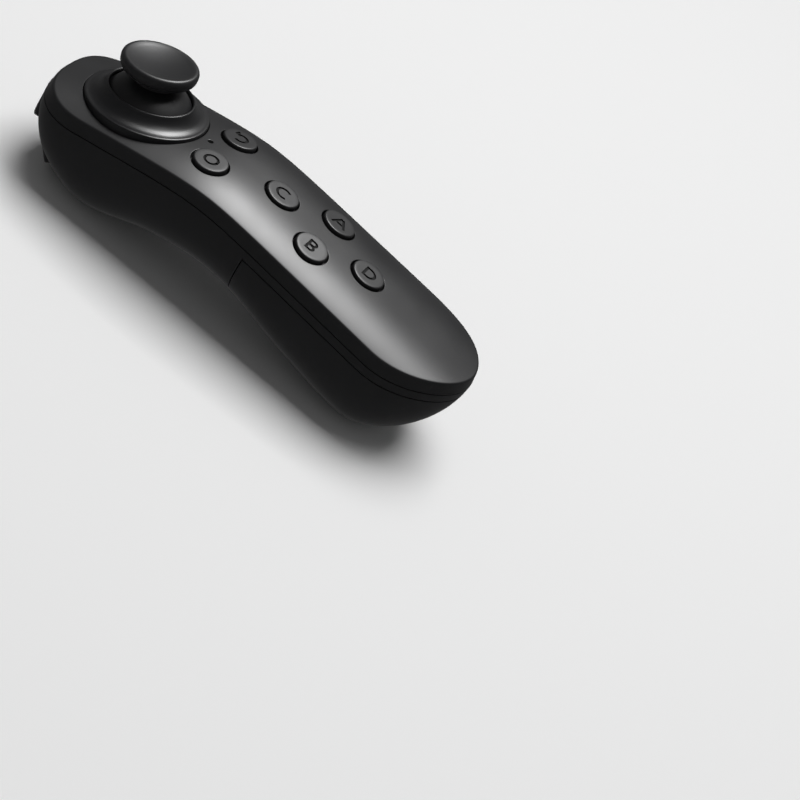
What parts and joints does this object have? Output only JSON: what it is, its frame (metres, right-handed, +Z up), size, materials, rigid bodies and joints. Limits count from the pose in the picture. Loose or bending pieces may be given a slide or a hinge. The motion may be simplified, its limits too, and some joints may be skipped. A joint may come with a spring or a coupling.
{
  "type": "vr motion controller",
  "caption": "Handheld curved stick remote with a tilting thumbstick, round face buttons, stacked front triggers and a lift-off battery door.",
  "frame": {"origin": "on the supporting surface under the middle of the object's length and width", "axes": "+Z up, +Y towards the thumbstick end, +X the controller's right side seen from behind"},
  "size_m": [0.0366, 0.119, 0.0405],
  "materials": {
    "shell_black": "satin fine grain",
    "bezel_black": "satin",
    "thumb_rubber": "matt",
    "button_black": "satin",
    "trigger_black": "satin",
    "steel": "turned",
    "board_green": "solder mask",
    "flex_amber": "film",
    "nickel": "plated",
    "shield_tin": "tinned",
    "plunger_ivory": "moulded",
    "cell_sleeve": "printed foil",
    "clear_guide": "smoked",
    "led_white": "moulded",
    "pot_green": "moulded",
    "chip_black": "moulded"
  },
  "bodies": {
    "handset": {"top_cover": "shell_black", "bottom_housing": "shell_black", "joystick_bezel": "bezel_black", "stick_module_housing": "chip_black", "x_potentiometer": "pot_green", "y_potentiometer": "pot_green", "stick_board": "board_green", "function_board": "board_green", "main_board": "board_green", "radio_module": "shield_tin", "function_flex": "flex_amber", "head_flex": "flex_amber", "face_switches": "chip_black", "status_led": "led_white", "light_pipe": "clear_guide", "upper_trigger_pin": "steel", "lower_trigger_pin": "steel", "trigger_board": "board_green", "trigger_switches": "chip_black", "battery_cell_left": "cell_sleeve", "battery_cell_right": "cell_sleeve", "front_contact_plate": "nickel", "front_contact_spring": "nickel", "rear_contact_plate": "nickel", "rear_contact_spring": "nickel", "case_screws": "steel"},
    "thumbstick_yoke": {"gimbal_yoke": "steel"},
    "thumbstick": {"thumbstick_cap": "thumb_rubber", "stick_post": "steel"},
    "button_a": {"button_a": "button_black", "plunger_a": "plunger_ivory"},
    "button_b": {"button_b": "button_black", "plunger_b": "plunger_ivory"},
    "button_c": {"button_c": "button_black", "plunger_c": "plunger_ivory"},
    "button_d": {"button_d": "button_black", "plunger_d": "plunger_ivory"},
    "ring_button": {"ring_button": "button_black", "ring_plunger": "plunger_ivory"},
    "return_button": {"return_button": "button_black", "return_plunger": "plunger_ivory"},
    "upper_trigger": {"upper_trigger": "trigger_black"},
    "lower_trigger": {"lower_trigger": "trigger_black"},
    "battery_door": {"battery_door": "shell_black"}
  },
  "joints": [
    {"name": "stick_pitch", "type": "hinge", "parent": "handset", "child": "thumbstick_yoke", "pos_m": [0, 0.03712, 0.0227], "axis": [1, 0, 0], "range_deg": [-20, 20], "stiffness_Nm_per_rad": 0.02},
    {"name": "stick_roll", "type": "hinge", "parent": "thumbstick_yoke", "child": "thumbstick", "pos_m": [0, 0.03712, 0.0227], "axis": [0, 0.9808, -0.1952], "range_deg": [-20, 20], "stiffness_Nm_per_rad": 0.02},
    {"name": "button_a_press", "type": "slide", "parent": "handset", "child": "button_a", "axis": [-0.0761, 0.0883, -0.9932], "range_m": [0, 0.0004], "stiffness_N_per_m": 1500, "springref_m": -0.0002},
    {"name": "button_b_press", "type": "slide", "parent": "handset", "child": "button_b", "axis": [0.0761, 0.0883, -0.9932], "range_m": [0, 0.0004], "stiffness_N_per_m": 1500, "springref_m": -0.0002},
    {"name": "button_c_press", "type": "slide", "parent": "handset", "child": "button_c", "axis": [0, 0.0702, -0.9975], "range_m": [0, 0.0004], "stiffness_N_per_m": 1500, "springref_m": -0.0002},
    {"name": "button_d_press", "type": "slide", "parent": "handset", "child": "button_d", "axis": [0, 0.0896, -0.996], "range_m": [0, 0.0004], "stiffness_N_per_m": 1500, "springref_m": -0.0002},
    {"name": "ring_button_press", "type": "slide", "parent": "handset", "child": "ring_button", "axis": [0.0731, -0.1232, -0.9897], "range_m": [0, 0.0004], "stiffness_N_per_m": 1500, "springref_m": -0.0002},
    {"name": "return_button_press", "type": "slide", "parent": "handset", "child": "return_button", "axis": [-0.0731, -0.1232, -0.9897], "range_m": [0, 0.0004], "stiffness_N_per_m": 1500, "springref_m": -0.0002},
    {"name": "upper_trigger_pull", "type": "hinge", "parent": "handset", "child": "upper_trigger", "pos_m": [0, 0.0546, 0.017], "axis": [-1, 0, 0], "range_deg": [0, 5], "stiffness_Nm_per_rad": 0.05, "springref_deg": -5.73},
    {"name": "lower_trigger_pull", "type": "hinge", "parent": "handset", "child": "lower_trigger", "pos_m": [0, 0.0506, 0.0082], "axis": [-1, 0, 0], "range_deg": [0, 5], "stiffness_Nm_per_rad": 0.05, "springref_deg": -5.73},
    {"name": "door_lift_off", "type": "slide", "parent": "handset", "child": "battery_door", "axis": [0, 0, -1], "range_m": [0, 0.04]}
  ]
}
